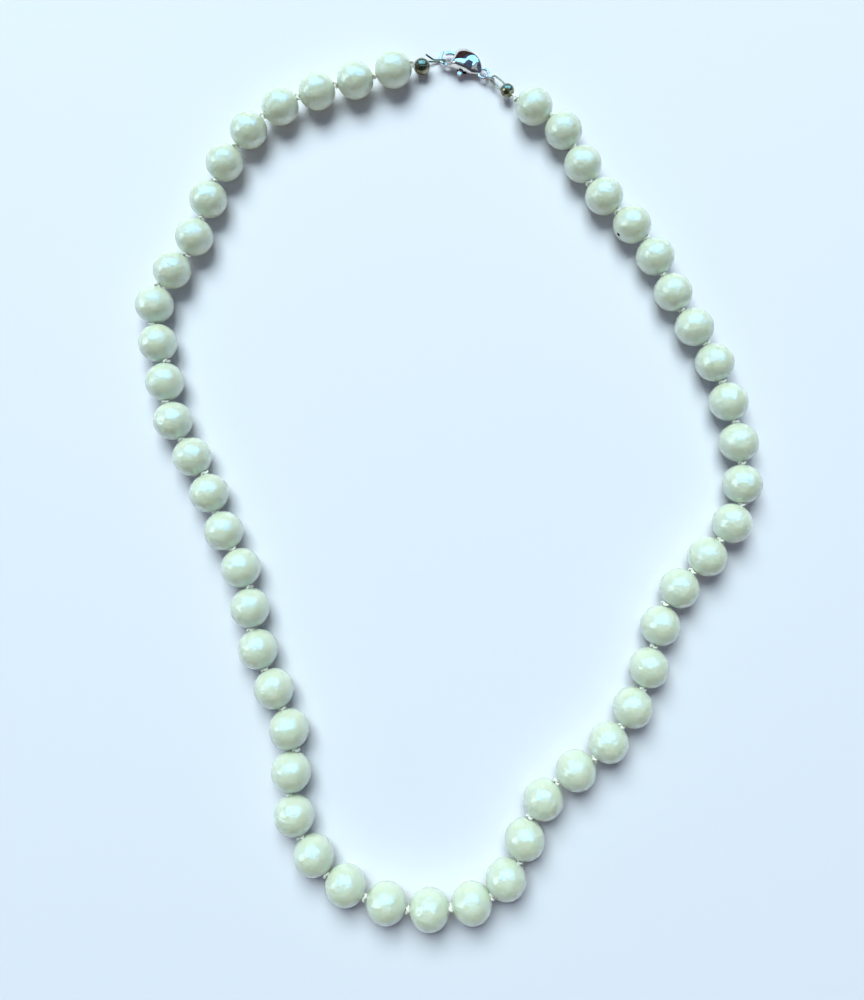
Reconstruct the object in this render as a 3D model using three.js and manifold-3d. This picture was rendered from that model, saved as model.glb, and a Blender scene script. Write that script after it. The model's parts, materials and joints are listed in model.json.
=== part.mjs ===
// A single-strand faux pearl necklace, lying as a closed loop on a flat surface.
//
// Round beads are knotted one by one on a thread. Each end of the thread is held in a clamshell bead tip,
// whose wire loop takes the lobster clasp on the left and a jump ring on the right.
// Millimetres, +Z up. The beads rest on z = 0, and the origin is under the middle of the whole loop.

import * as THREE from "three";
import { mergeVertices } from "three/addons/utils/BufferGeometryUtils.js";
import Module from "manifold-3d";

const wasm = await Module();
wasm.setup();

// Beads: 8 mm across, drilled for the thread.
const BEAD_RADIUS = 4;
const BORE_RADIUS = 0.55;
const BEAD_SIDES = 12;
const BEAD_SHOULDER = 40; // degrees from the drilled axis
const BEAD_FLAT = 1.1; // half the length of the flats round its middle, one of which it rests on

// Thread and the knots on it.
const THREAD_RADIUS = 0.25;
const KNOT_RADIUS = 0.5;
const THREAD_SIDES = 6;
const END_KNOT_RADIUS = 0.7;

// Beads that are joined along their thread, next to the clasp. Every other bead is a solid of its own.
const LEFT_RUN_LAST = 6;
const RIGHT_RUN_FIRST = 47;

// How the string lies: where some of its knots are. Those between are evenly spaced on a smooth curve.
// Bead 1 is strung between knots 0 and 1, and so on.
const STRING = [
  { knot: 0, x: -6.5, y: 87.5 },
  { knot: 4, x: -39, y: 76 },
  { knot: 6, x: -49, y: 61.5 },
  { knot: 7, x: -51.5, y: 53 },
  { knot: 8, x: -54.5, y: 45 },
  { knot: 9, x: -60.5, y: 38.5 },
  { knot: 10, x: -61.5, y: 30 },
  { knot: 11, x: -58.5, y: 22 },
  { knot: 12, x: -58, y: 13.5 },
  { knot: 13, x: -54.5, y: 5.5 },
  { knot: 14, x: -49.5, y: -1.5 },
  { knot: 15, x: -47, y: -9.5 },
  { knot: 17, x: -39.5, y: -24.5 },
  { knot: 18, x: -39, y: -33 },
  { knot: 21, x: -29.5, y: -56.5 },
  { knot: 22, x: -31, y: -65 },
  { knot: 24, x: -23, y: -80 },
  { knot: 26, x: -7, y: -86.5 },
  { knot: 27, x: 1.5, y: -86.5 },
  { knot: 28, x: 9.5, y: -84 },
  { knot: 29, x: 15, y: -77.5 },
  { knot: 30, x: 17, y: -69 },
  { knot: 31, x: 22.5, y: -62.5 },
  { knot: 32, x: 30, y: -58 },
  { knot: 34, x: 40, y: -44.5 },
  { knot: 36, x: 45, y: -28 },
  { knot: 39, x: 61, y: -8 },
  { knot: 43, x: 55, y: 25.5 },
  { knot: 44, x: 50, y: 32.5 },
  { knot: 46, x: 43, y: 48 },
  { knot: 48, x: 31.5, y: 60.5 },
  { knot: 49, x: 28.5, y: 68.5 },
  { knot: 50, x: 23.5, y: 75.5 },
  { knot: 51, x: 16, y: 79.5 },
];
const STEPS_PER_STRETCH = 40;

// The clasp's own frame: its origin near the eye at the tail, +X towards the nose, the gate on the -Y side.
const CLASP = { x: 8.9, y: 87.1, z: 1.42, heading: 160.3 };
const BODY_OUTLINE = [
  { x: 0.4, y: 0.9 },
  { x: 2.2, y: 1.6 },
  { x: 4.2, y: 1.85 },
  { x: 6.4, y: 1.75 },
  { x: 8.3, y: 1.85 },
  { x: 9.7, y: 1.2 },
  { x: 10.2, y: 0.1 },
  { x: 9.7, y: -1.1 },
  { x: 7.3, y: -2.7 },
  { x: 4.9, y: -3.5 },
  { x: 2.6, y: -2.8 },
  { x: 0.9, y: -1.4 },
  { x: 0.2, y: -0.3 },
];
const BODY_SIDE = [
  { x: -0.4, half: 0.55 },
  { x: 1.2, half: 0.95 },
  { x: 3.2, half: 1.42 },
  { x: 5.6, half: 1.42 },
  { x: 7.4, half: 0.95 },
  { x: 8.4, half: 0.62 },
  { x: 9.4, half: 0.5 },
  { x: 10.4, half: 0.48 },
];
const BODY_EDGE = 0.55;
const BODY_OUTLINE_STEPS = 30;
const CUT_WIDTH = 12; // of the cutting plates, which reach right through the body
const EYE = { x: -0.4, y: 0.65, radius: 1.05, wire: 0.28, steps: 14 };

// The opening between the hook and the body, out to the mouth that the lever's gate closes.
const HOOK_OPENING = [
  { x: 7.2, y: -3.6 },
  { x: 7.0, y: -2.0 },
  { x: 7.0, y: 0 },
  { x: 7.4, y: 0.95 },
  { x: 8.4, y: 1.25 },
  { x: 9.15, y: 1.0 },
  { x: 9.4, y: 0.3 },
  { x: 9.4, y: -0.75 },
  { x: 9.45, y: -0.9 },
  { x: 10.8, y: -1.4 },
];

// The lever: a flat piece in a slot between the body's two cheeks, turning on a pin.
const PIVOT = { x: 4.4, y: -0.2, pin: 0.35, hole: 0.5, length: 2.3, sides: 10 };
const LEVER_THICKNESS = 0.8;
const LEVER_ROOM = 1.4; // the slot between the cheeks
const LEVER_OUTLINE = [
  { x: 4.15, y: 2.7 },
  { x: 5.1, y: 2.6 },
  { x: 5.05, y: 1.2 },
  { x: 5.45, y: 0.1 },
  { x: 6.0, y: -1.05 },
  { x: 7.1, y: -1.55 },
  { x: 8.1, y: -1.45 },
  { x: 8.8, y: -0.9 },
  { x: 9.1, y: -1.2 },
  { x: 8.9, y: -1.6 },
  { x: 8.1, y: -2.1 },
  { x: 7.0, y: -2.2 },
  { x: 5.5, y: -1.85 },
  { x: 3.9, y: -1.15 },
  { x: 3.45, y: -0.3 },
  { x: 3.85, y: 1.0 },
];

// What the lever sweeps as it opens, cut out of the body.
const LEVER_SWEEP = [
  { x: 2.9, y: 3.4 },
  { x: 3.2, y: 1.0 },
  { x: 2.9, y: -0.5 },
  { x: 3.6, y: -1.6 },
  { x: 5.3, y: -2.3 },
  { x: 6.9, y: -2.65 },
  { x: 8.6, y: -2.7 },
  { x: 8.6, y: 0.4 },
  { x: 6.4, y: 0.6 },
  { x: 5.6, y: 1.2 },
  { x: 5.6, y: 3.4 },
];

// Bead tips: hollow clamshells over the thread's end knots, each with a wire loop towards the clasp.
// Each loop lies `aside` of the ball's middle, and `end` is how its wire's tail comes back to the ball.
const SHELL_WALL = 0.35;
const SHELL_SIDES = 12;
const SHELL_OUTSIDE = [0, 30, 62, 94, 126]; // degrees round the ball from the side without the hole
const SHELL_INSIDE = [120, 80, 40, 0];
const TIP_WIRE = 0.22;
const LOOP_STEPS = 18;
const WIRE_SIDES = 6;
const LEFT_TIP = {
  x: 12.85,
  y: 3.9,
  z: 0.85,
  radius: 1.8,
  aside: -1.25,
  lean: 20,
  to: { x: 9, y: 2.05, z: -0.3 },
  loopHalf: 1.4,
  reach: 5.4,
  end: [
    { x: 2.4, y: 1.4, z: -1.25 },
    { x: 1.5, y: 1.45, z: -1.7 },
    { x: 0.6, y: 1.45, z: -2.3 },
  ],
};
const RIGHT_TIP = {
  x: -6.7,
  y: 3.1,
  z: 1.1,
  radius: 1.5,
  aside: 0,
  to: { x: -2.5, y: 1.0, z: 0 },
  loopHalf: 0.78,
  reach: 4.95,
  end: [
    { x: 1.8, y: 0.76, z: 0 },
    { x: 1.15, y: 0.5, z: 0 },
  ],
};

// The jump ring between the clasp's eye and the right bead tip.
const RING = {
  x: -1.9,
  y: 0.95,
  radius: 1.2,
  wire: 0.25,
  steps: 18,
  lean: 25,
  along: { x: -2.54, y: 0.43 },
};

const pearlLacquer = new THREE.MeshStandardMaterial({ color: 0xdde8d6, roughness: 0.22, metalness: 0.1 });
const silkThread = new THREE.MeshStandardMaterial({ color: 0xece6d8, roughness: 0.85, metalness: 0 });
const silverPlate = new THREE.MeshStandardMaterial({ color: 0xc9c9c6, roughness: 0.18, metalness: 1 });
const leverPlate = new THREE.MeshStandardMaterial({ color: 0xb9b9b4, roughness: 0.3, metalness: 1 });

const UP = new THREE.Vector3(0, 0, 1);
const radians = THREE.MathUtils.degToRad;

// ---- Solids ----

function toSolid(geometry) {
  const bare = geometry.clone();
  bare.deleteAttribute("normal");
  bare.deleteAttribute("uv");
  const merged = mergeVertices(bare, 1e-4);
  const mesh = new wasm.Mesh({
    numProp: 3,
    vertProperties: new Float32Array(merged.attributes.position.array),
    triVerts: new Uint32Array(merged.index.array),
  });
  return new wasm.Manifold(mesh);
}

function toGeometry(solid) {
  const mesh = solid.getMesh();
  const geometry = new THREE.BufferGeometry();
  geometry.setAttribute("position", new THREE.BufferAttribute(new Float32Array(mesh.vertProperties), 3));
  geometry.setIndex(new THREE.BufferAttribute(new Uint32Array(mesh.triVerts), 1));
  geometry.computeVertexNormals();
  return geometry;
}

function mesh(name, geometry, material) {
  const piece = new THREE.Mesh(geometry, material);
  piece.name = name;
  return piece;
}

function points2(rows) {
  return rows.map((row) => new THREE.Vector2(row.x, row.y));
}

// A plate of an outline, centred on its own mid-plane.
function plate(outline, thickness, options = {}) {
  const edge = options.edge ?? 0;
  const geometry = new THREE.ExtrudeGeometry(new THREE.Shape(outline), {
    depth: thickness - 2 * edge,
    bevelEnabled: edge > 0,
    bevelThickness: edge,
    bevelSize: edge,
    bevelOffset: -edge,
    bevelSegments: 2,
  });
  return geometry.translate(0, 0, -thickness / 2 + edge);
}

// A round wire along a smooth curve through a few points.
function wire(points, radius, steps) {
  const section = new THREE.Shape(circle(radius, WIRE_SIDES));
  const extrudePath = new THREE.CatmullRomCurve3(points);
  return new THREE.ExtrudeGeometry(section, { steps, bevelEnabled: false, extrudePath });
}

function circle(radius, sides, centre = { x: 0, y: 0 }) {
  return Array.from({ length: sides }, (_, i) => {
    const angle = (2 * Math.PI * i) / sides;
    return new THREE.Vector2(centre.x + radius * Math.cos(angle), centre.y + radius * Math.sin(angle));
  });
}

// ---- Where the knots and the beads are ----

function placeKnots() {
  const stops = STRING.map((row) => new THREE.Vector3(row.x, row.y, BEAD_RADIUS));
  const curve = new THREE.CatmullRomCurve3(stops, false, "centripetal");
  curve.arcLengthDivisions = STEPS_PER_STRETCH * (stops.length - 1);
  const lengths = curve.getLengths();
  const total = lengths[lengths.length - 1];
  const knots = [];
  STRING.slice(0, -1).forEach((row, i) => {
    const start = lengths[i * STEPS_PER_STRETCH];
    const end = lengths[(i + 1) * STEPS_PER_STRETCH];
    const count = STRING[i + 1].knot - row.knot;
    for (let k = 0; k < count; k++) {
      knots.push(curve.getPointAt((start + ((end - start) * k) / count) / total));
    }
  });
  return [...knots, stops[stops.length - 1]];
}

// Each bead is halfway between its two knots, with its bore on the line between them.
function placeBeads(knots) {
  return knots.slice(1).map((to, i) => {
    const from = knots[i];
    const along = to.clone().sub(from).normalize();
    return { number: i + 1, centre: between(from, to), along, from, to };
  });
}

function between(a, b, share = 0.5) {
  return a.clone().lerp(b, share);
}

// ---- Beads ----

// Half the length of the bore, where the flat round its mouth begins.
const BORE_HALF = Math.sqrt(BEAD_RADIUS ** 2 - BORE_RADIUS ** 2);

// The bead's section from mouth to mouth. Its flats are at the bead's radius, its corners just outside it.
function beadSection() {
  const corner = BEAD_RADIUS / Math.cos(Math.PI / BEAD_SIDES);
  const shoulder = new THREE.Vector2(
    corner * Math.sin(radians(BEAD_SHOULDER)),
    BEAD_RADIUS * Math.cos(radians(BEAD_SHOULDER)),
  );
  const half = [shoulder, new THREE.Vector2(corner, BEAD_FLAT)];
  const mirrored = half.map((point) => new THREE.Vector2(point.x, -point.y));
  const mouth = new THREE.Vector2(BORE_RADIUS, BORE_HALF);
  return [new THREE.Vector2(BORE_RADIUS, -BORE_HALF), ...mirrored, ...half.toReversed(), mouth];
}

function turned(section) {
  return new THREE.LatheGeometry(section, BEAD_SIDES, Math.PI / BEAD_SIDES);
}

function drilledBead() {
  const section = beadSection();
  return turned([...section, section[0]]);
}

function undrilledBead() {
  return turned([new THREE.Vector2(0, -BORE_HALF), ...beadSection(), new THREE.Vector2(0, BORE_HALF)]);
}

function turnToThread(object, bead) {
  object.position.copy(bead.centre);
  object.rotation.z = Math.atan2(bead.along.y, bead.along.x) - Math.PI / 2;
  object.updateMatrix();
  return object;
}

// ---- Thread ----

// The thread is turned straight, with its knots. Each ring of it is then put at its own stop.
function threadAlong(stops) {
  const straight = stops.map((stop, i) => new THREE.Vector2(stop.radius, i));
  const geometry = new THREE.LatheGeometry(straight, THREAD_SIDES);
  const position = geometry.attributes.position;
  for (let i = 0; i < position.count; i++) {
    const k = i % stops.length;
    const before = stops[Math.max(k - 1, 0)].at;
    const after = stops[Math.min(k + 1, stops.length - 1)].at;
    const along = after.clone().sub(before).normalize();
    const side = along.clone().cross(UP).normalize();
    const over = side.clone().cross(along);
    const place = stops[k].at.clone();
    place.addScaledVector(side, position.getX(i)).addScaledVector(over, position.getZ(i));
    position.setXYZ(i, place.x, place.y, place.z);
  }
  return geometry;
}

// Just inside the mouths of a bead's bore, where the thread begins to swell into its knots.
function entryOf(bead) {
  return bead.centre.clone().addScaledVector(bead.along, THREAD_RADIUS - BORE_HALF);
}

function exitOf(bead) {
  return bead.centre.clone().addScaledVector(bead.along, BORE_HALF - THREAD_RADIUS);
}

// Stops through a row of beads: straight in each bore, with a knot in each gap.
function stopsThrough(beads) {
  const stops = beads.flatMap((bead) => [
    { at: entryOf(bead), radius: THREAD_RADIUS },
    { at: exitOf(bead), radius: THREAD_RADIUS },
    { at: bead.to, radius: KNOT_RADIUS },
  ]);
  return stops.slice(0, -1);
}

// The thread through the separate beads. It starts and ends in the knots beside the two joined runs.
function middleThread(beads) {
  const first = beads[0];
  const last = beads[beads.length - 1];
  return threadAlong([
    { at: first.from, radius: 0 },
    { at: between(first.from, entryOf(first)), radius: KNOT_RADIUS },
    ...stopsThrough(beads),
    { at: between(last.to, exitOf(last)), radius: KNOT_RADIUS },
    { at: last.to, radius: 0 },
  ]);
}

// A run of beads joined along its thread. Its first bead is next to the bead tip that holds its end knot.
function joinedRun(beads, tip) {
  const hole = tip.centre.clone().addScaledVector(tip.axis, -tip.radius);
  const outside = tip.centre.clone().addScaledVector(tip.axis, -tip.radius - THREAD_RADIUS);
  const past = tip.centre.clone().addScaledVector(tip.axis, END_KNOT_RADIUS / 2);
  const thread = threadAlong([
    { at: past, radius: 0 },
    { at: tip.centre, radius: END_KNOT_RADIUS },
    { at: between(tip.centre, hole), radius: THREAD_RADIUS },
    { at: outside, radius: THREAD_RADIUS },
    { at: beads[0].from, radius: KNOT_RADIUS },
    ...stopsThrough(beads).slice(0, -1),
    { at: beads[beads.length - 1].centre, radius: 0 },
  ]);
  return beads.reduce((solid, bead) => {
    const placed = turnToThread(new THREE.Object3D(), bead);
    return solid.add(toSolid(undrilledBead().applyMatrix4(placed.matrix)));
  }, toSolid(thread));
}

// The same beads, met from the other end of the string.
function fromTheOtherEnd(beads) {
  return beads.toReversed().map((bead) => {
    return { ...bead, along: bead.along.clone().negate(), from: bead.to, to: bead.from };
  });
}

// ---- Bead tips ----

// A hollow ball with its hole on the -X side. The section runs down the outside and back up the inside.
function clamshell(radius) {
  const inside = radius - SHELL_WALL;
  const at = (r, a) => new THREE.Vector2(r * Math.sin(a), r * Math.cos(a));
  const arc = (r, angles) => angles.map((degrees) => at(r, radians(degrees)));
  const rim = (r) => new THREE.Vector2(BORE_RADIUS, -Math.sqrt(r ** 2 - BORE_RADIUS ** 2));
  const outer = [...arc(radius, SHELL_OUTSIDE), rim(radius)];
  const section = [...outer, rim(inside), ...arc(inside, SHELL_INSIDE)];
  return new THREE.LatheGeometry(section.reverse(), SHELL_SIDES).rotateZ(-Math.PI / 2);
}

// The loop lies flat, `aside` of the tip's own XY plane: out along one side, round, and back to its tail.
function tipLoop(tip) {
  const { radius, aside, loopHalf: half, reach } = tip;
  const root = Math.sqrt((radius - SHELL_WALL / 2) ** 2 - aside ** 2);
  const route = [
    { x: root * 0.7, y: -half * 0.5, z: aside },
    { x: root + 0.5, y: -half * 0.95, z: aside },
    { x: reach - half * 0.9, y: -half, z: aside },
    { x: reach - half * 0.2, y: -half * 0.66, z: aside },
    { x: reach, y: 0, z: aside },
    { x: reach - half * 0.2, y: half * 0.66, z: aside },
    { x: reach - half * 0.9, y: half, z: aside },
    ...tip.end,
  ];
  const points = route.map((row) => new THREE.Vector3(row.x, row.y, row.z));
  return wire(points, TIP_WIRE, LOOP_STEPS);
}

function beadTip(tip) {
  return toGeometry(toSolid(clamshell(tip.radius)).add(toSolid(tipLoop(tip))));
}

// ---- Clasp ----

function claspBody() {
  const outline = new THREE.CatmullRomCurve3(
    BODY_OUTLINE.map((row) => new THREE.Vector3(row.x, row.y, 0)),
    true,
    "centripetal",
  ).getPoints(BODY_OUTLINE_STEPS);
  const flanks = [
    ...BODY_SIDE.map((row) => new THREE.Vector2(row.x, row.half)),
    ...BODY_SIDE.toReversed().map((row) => new THREE.Vector2(row.x, -row.half)),
  ];
  const widest = Math.max(...BODY_SIDE.map((row) => row.half));
  const shape = toSolid(plate(outline.slice(0, -1).reverse(), 2 * widest, { edge: BODY_EDGE }));
  const side = toSolid(plate(flanks, CUT_WIDTH).rotateX(Math.PI / 2));
  const eye = new THREE.TorusGeometry(EYE.radius, EYE.wire, WIRE_SIDES, EYE.steps);
  eye.translate(EYE.x, EYE.y, 0);
  const opening = toSolid(plate(points2(HOOK_OPENING), CUT_WIDTH));
  const room = toSolid(plate(points2(LEVER_SWEEP), LEVER_ROOM));
  const pin = new THREE.CylinderGeometry(PIVOT.pin, PIVOT.pin, PIVOT.length, PIVOT.sides);
  pin.rotateX(Math.PI / 2).translate(PIVOT.x, PIVOT.y, 0);
  const hollow = shape.intersect(side).subtract(opening).subtract(room);
  return toGeometry(hollow.add(toSolid(eye)).add(toSolid(pin)));
}

function claspLever() {
  const outline = new THREE.Shape(points2(LEVER_OUTLINE));
  outline.holes.push(new THREE.Path(circle(PIVOT.hole, PIVOT.sides, PIVOT)));
  const geometry = new THREE.ExtrudeGeometry(outline, { depth: LEVER_THICKNESS, bevelEnabled: false });
  return geometry.translate(0, 0, -LEVER_THICKNESS / 2);
}

// ---- The necklace ----

// Turns an object so that its X axis runs along a direction, and its Z axis is as near as can be to another.
function aim(object, along, normal) {
  const x = along.clone().normalize();
  const y = normal.clone().cross(x).normalize();
  const z = x.clone().cross(y);
  object.quaternion.setFromRotationMatrix(new THREE.Matrix4().makeBasis(x, y, z));
  return object;
}

// Straight up, leaned over about an axis.
function leaning(axis, degrees) {
  return UP.clone().applyAxisAngle(axis, radians(degrees));
}

const beads = placeBeads(placeKnots());
const leftRun = beads.slice(0, LEFT_RUN_LAST);
const separate = beads.slice(LEFT_RUN_LAST, RIGHT_RUN_FIRST - 1);
const rightRun = beads.slice(RIGHT_RUN_FIRST - 1);

const clasp = new THREE.Group();
clasp.position.set(CLASP.x, CLASP.y, CLASP.z);
clasp.rotation.z = radians(CLASP.heading);
clasp.add(mesh("clasp_body", claspBody(), silverPlate));
clasp.add(mesh("clasp_lever", claspLever(), leverPlate));

const ringAlong = new THREE.Vector3(RING.along.x, RING.along.y, 0).normalize();
const ringRise = leaning(ringAlong, RING.lean);
const torus = new THREE.TorusGeometry(RING.radius, RING.wire, WIRE_SIDES, RING.steps);
const ring = mesh("jump_ring", torus, silverPlate);
ring.position.set(RING.x, RING.y, 0);
aim(ring, ringAlong, ringAlong.clone().cross(ringRise));
clasp.add(ring);
clasp.updateMatrixWorld(true);

// A bead tip, and where its ball and its axis are in the necklace's frame.
function addTip(name, tip, loopNormal) {
  const piece = mesh(name, beadTip(tip), silverPlate);
  const centre = new THREE.Vector3(tip.x, tip.y, tip.z);
  const axis = new THREE.Vector3(tip.to.x, tip.to.y, tip.to.z).sub(centre).normalize();
  piece.position.copy(centre);
  aim(piece, axis, loopNormal(axis));
  clasp.add(piece);
  return {
    centre: clasp.localToWorld(centre.clone()),
    axis: axis.clone().transformDirection(clasp.matrixWorld),
    radius: tip.radius,
  };
}

// The left loop stands on edge and leans. The right one leans with the jump ring that it holds.
const onEdge = (axis) => axis.clone().cross(leaning(axis, LEFT_TIP.lean));
const leftTip = addTip("bead_tip_left", LEFT_TIP, onEdge);
const rightTip = addTip("bead_tip_right", RIGHT_TIP, () => ringRise);

const necklace = new THREE.Group();
necklace.add(clasp);
const runLeft = joinedRun(leftRun, leftTip);
const runRight = joinedRun(fromTheOtherEnd(rightRun), rightTip);
necklace.add(mesh("bead_run_left", toGeometry(runLeft), pearlLacquer));
necklace.add(mesh("bead_run_right", toGeometry(runRight), pearlLacquer));
for (const bead of separate) {
  const name = `bead_${String(bead.number).padStart(2, "0")}`;
  necklace.add(turnToThread(mesh(name, drilledBead(), pearlLacquer), bead));
}
necklace.add(mesh("thread", middleThread(separate), silkThread));

const box = new THREE.Box3().setFromObject(necklace, true);
const middleOfLoop = box.getCenter(new THREE.Vector3());
necklace.position.set(-middleOfLoop.x, -middleOfLoop.y, -box.min.z);

export default necklace;
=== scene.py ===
"""A single-strand faux pearl necklace, closed at its lobster clasp and lying in a loop on a pale floor.

Lengths in this script are millimetres until a piece is put into its mesh, which is in metres.
"""

import json
import math

import bpy
import numpy as np
from mathutils import Matrix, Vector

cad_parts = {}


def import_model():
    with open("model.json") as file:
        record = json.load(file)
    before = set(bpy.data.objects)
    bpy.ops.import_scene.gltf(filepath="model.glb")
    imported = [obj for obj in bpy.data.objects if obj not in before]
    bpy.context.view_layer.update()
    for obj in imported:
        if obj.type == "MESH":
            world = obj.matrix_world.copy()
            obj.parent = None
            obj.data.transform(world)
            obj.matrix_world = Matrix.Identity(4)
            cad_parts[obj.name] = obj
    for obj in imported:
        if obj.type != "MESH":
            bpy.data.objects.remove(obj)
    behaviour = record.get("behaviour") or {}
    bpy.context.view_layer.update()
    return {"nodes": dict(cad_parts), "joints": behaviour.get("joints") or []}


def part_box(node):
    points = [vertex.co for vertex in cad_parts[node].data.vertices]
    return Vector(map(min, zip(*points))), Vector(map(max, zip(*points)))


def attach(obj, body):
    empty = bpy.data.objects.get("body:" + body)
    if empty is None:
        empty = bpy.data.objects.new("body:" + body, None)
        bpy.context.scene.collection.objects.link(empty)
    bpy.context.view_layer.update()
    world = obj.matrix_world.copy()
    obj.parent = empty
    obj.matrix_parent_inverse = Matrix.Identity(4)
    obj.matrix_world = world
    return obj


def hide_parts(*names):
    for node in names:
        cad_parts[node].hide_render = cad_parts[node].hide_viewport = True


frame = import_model()

MM = 0.001
TURN = 2 * math.pi
UP = np.array([0.0, 0.0, 1.0])

# ---- Sizes ----

BEAD_RADIUS = 4.0
HOLE_RADIUS = 0.42
HOLE_LIP = 0.13
WAVE_ROUND = 0.006  # a bead is out of round by about four times this, and by twice the next along its bore
WAVE_ALONG = 0.004
THREAD_RADIUS = 0.24
KNOT_RADIUS = 0.23  # of the strand that the knots are tied in
KNOT_STOP = 0.45  # from a knot's middle to where the thread runs straight into the bore
END_KNOT_RADIUS = 0.68
SEED = 51
FIRST_BEAD = 1
LAST_BEAD = 51
RUNS = {"bead_run_left": range(1, 7), "bead_run_right": range(47, 52)}

# One bead has a chip in its lacquer, low on its outer side and longer one way than the other. The bare patch
# is an ellipse about two foci, and it fades into the lacquer between the two margins, with a ragged edge.
CHIPPED_BEAD = 47
CHIP_DIRECTION = np.array([-0.770, -0.610, 0.187])
CHIP_LONG = np.array([0.60, -0.80, 0.0])
CHIP_RADIUS = 0.46
CHIP_FOCUS = 0.30
CHIP_DEPTH = 0.09
CHIP_STRETCH = 0.4
CHIP_MARGINS = (0.14, 0.28)
CHIP_RAGGED = 0.4

# The clasp's own frame has +X towards the nose and the gate on its -Y side. Its pin is a joint of the frame.
CLASP_HEADING = math.radians(160.3)
PIN = np.array([4.4, -0.2, 0.0])
PIN_RADIUS = 0.35
LEVER_THICKNESS = 0.8
SLOT_WIDTH = 1.16

# Rows of the clasp's body from its tail to the end of its hook. Each is a rounded section between a point
# on the spine side and a point on the gate side, with half its thickness. A crest leans the upper face, so
# that it is highest towards the spine where it is above 0, and towards the gate where it is below.
BODY_ROWS = [
    {"spine": (0.10, 0.62), "gate": (0.10, 0.18), "half": 0.16},
    {"spine": (0.35, 0.92), "gate": (0.30, -0.38), "half": 0.48},
    {"spine": (0.95, 1.20), "gate": (0.80, -1.25), "half": 0.78, "crest": -0.15},
    {"spine": (1.80, 1.46), "gate": (1.65, -2.15), "half": 1.06, "crest": -0.25},
    {"spine": (2.80, 1.68), "gate": (2.75, -2.90), "half": 1.28, "crest": 0.15},
    {"spine": (4.00, 1.84), "gate": (4.05, -3.34), "half": 1.41, "crest": 0.66},
    {"spine": (5.20, 1.84), "gate": (5.30, -3.44), "half": 1.42, "crest": 0.80},
    {"spine": (6.15, 1.78), "gate": (6.35, -3.12), "half": 1.32, "crest": 0.80},
    {"spine": (6.75, 1.75), "gate": (6.95, -2.35), "half": 1.16, "crest": 0.68},
    {"spine": (7.20, 1.75), "gate": (7.08, -1.10), "half": 0.96, "crest": 0.36},
    {"spine": (7.65, 1.79), "gate": (7.16, 0.20), "half": 0.76, "crest": 0.05},
    {"spine": (8.20, 1.85), "gate": (7.55, 0.98), "half": 0.60},
    {"spine": (8.85, 1.74), "gate": (8.30, 1.24), "half": 0.53},
    {"spine": (9.50, 1.36), "gate": (8.98, 1.06), "half": 0.50},
    {"spine": (9.98, 0.80), "gate": (9.34, 0.60), "half": 0.49},
    {"spine": (10.20, 0.10), "gate": (9.42, 0.02), "half": 0.48},
    {"spine": (10.14, -0.56), "gate": (9.46, -0.46), "half": 0.45},
    {"spine": (9.94, -1.02), "gate": (9.44, -0.78), "half": 0.40},
    {"spine": (9.62, -1.40), "gate": (9.32, -1.10), "half": 0.24},
]
MOST_CREST = 0.80
BODY_CROWN = 0.35  # how much higher the upper face stands than the lower, as a share of its half thickness
BODY_STEPS = 240
BODY_SIDES = 96
BODY_FULLNESS = 3.1  # 2 is an ellipse
EYE = {"centre": (-0.4, 0.65, 0.0), "radius": 1.05, "wire": 0.28}

# What the lever sweeps as it opens, which is cut out of the body, and the lever's own outline.
SLOT_OUTLINE = [
    (3.15, 3.4), (3.2, 1.0), (2.9, -0.5), (3.6, -1.6), (5.3, -2.3), (6.9, -2.65),
    (8.6, -2.7), (8.6, 0.4), (6.4, 0.6), (5.45, 1.2), (5.35, 3.4),
]
LEVER_OUTLINE = [
    (4.15, 2.7), (4.65, 2.86), (5.1, 2.6), (5.05, 1.2), (5.45, 0.1), (6.0, -0.85), (7.1, -1.22),
    (8.1, -1.12), (8.85, -0.72), (9.13, -1.0), (8.95, -1.45), (8.1, -1.85), (7.0, -2.0), (5.5, -1.75),
    (3.9, -1.15), (3.45, -0.3), (3.85, 1.0),
]

# Bead tips, in the clasp's frame: the ball's centre, where its wire loop points, and the loop's route.
LEFT_TIP = {
    "centre": (12.85, 3.9, 0.85), "to": (9.0, 2.05, -0.3), "radius": 1.8,
    "aside": -1.25, "half": 1.4, "reach": 5.4, "lean": 20,
    "end": [(2.4, 1.4, -1.25), (1.5, 1.45, -1.7), (0.6, 1.45, -2.3)],
}
RIGHT_TIP = {
    "centre": (-6.7, 3.1, 1.1), "to": (-2.5, 1.0, 0.0), "radius": 1.5,
    "aside": 0.0, "half": 0.78, "reach": 4.95,
    "end": [(1.8, 0.76, 0.0), (1.15, 0.5, 0.0)],
}
TIP_WIRE = 0.2
SHELL_WALL = 0.3
SHELL_GAP = 0.035  # half the seam between a clamshell's two cups
SHELL_LIP = 0.03
NOTCH_DEPTH = 0.42
NOTCH_HALF_WIDTH = 0.48
RING = {"centre": (-1.9, 0.95, 0.0), "along": (-2.54, 0.43, 0.0), "lean": 25, "radius": 1.2, "wire": 0.24}
RING_CUT = 0.03  # half the saw cut, as an angle

LEVER_EDGE = 0.16
PIN_SEAT = 0.3  # how far the pin reaches into the slot's two walls together
PIN_PLAY = 0.06
SHARP = math.radians(40)
FLOOR_HALF = 1.3  # metres

# ---- Vectors and curves ----


def unit(v):
    v = np.asarray(v, float)
    return v / np.linalg.norm(v, axis=-1, keepdims=True)


def turned_about(v, axis, angle):
    """Rodrigues' turn: the part across the axis turns in its plane, and the part along it stays."""
    return (v * math.cos(angle) + np.cross(axis, v) * math.sin(angle)
            + axis * np.dot(axis, v) * (1 - math.cos(angle)))


def basis(along, normal):
    """Columns x, y and z: x is along, and z is as near to normal as it can be."""
    x = unit(along)
    y = unit(np.cross(normal, x))
    return np.column_stack([x, y, np.cross(x, y)])


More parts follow.
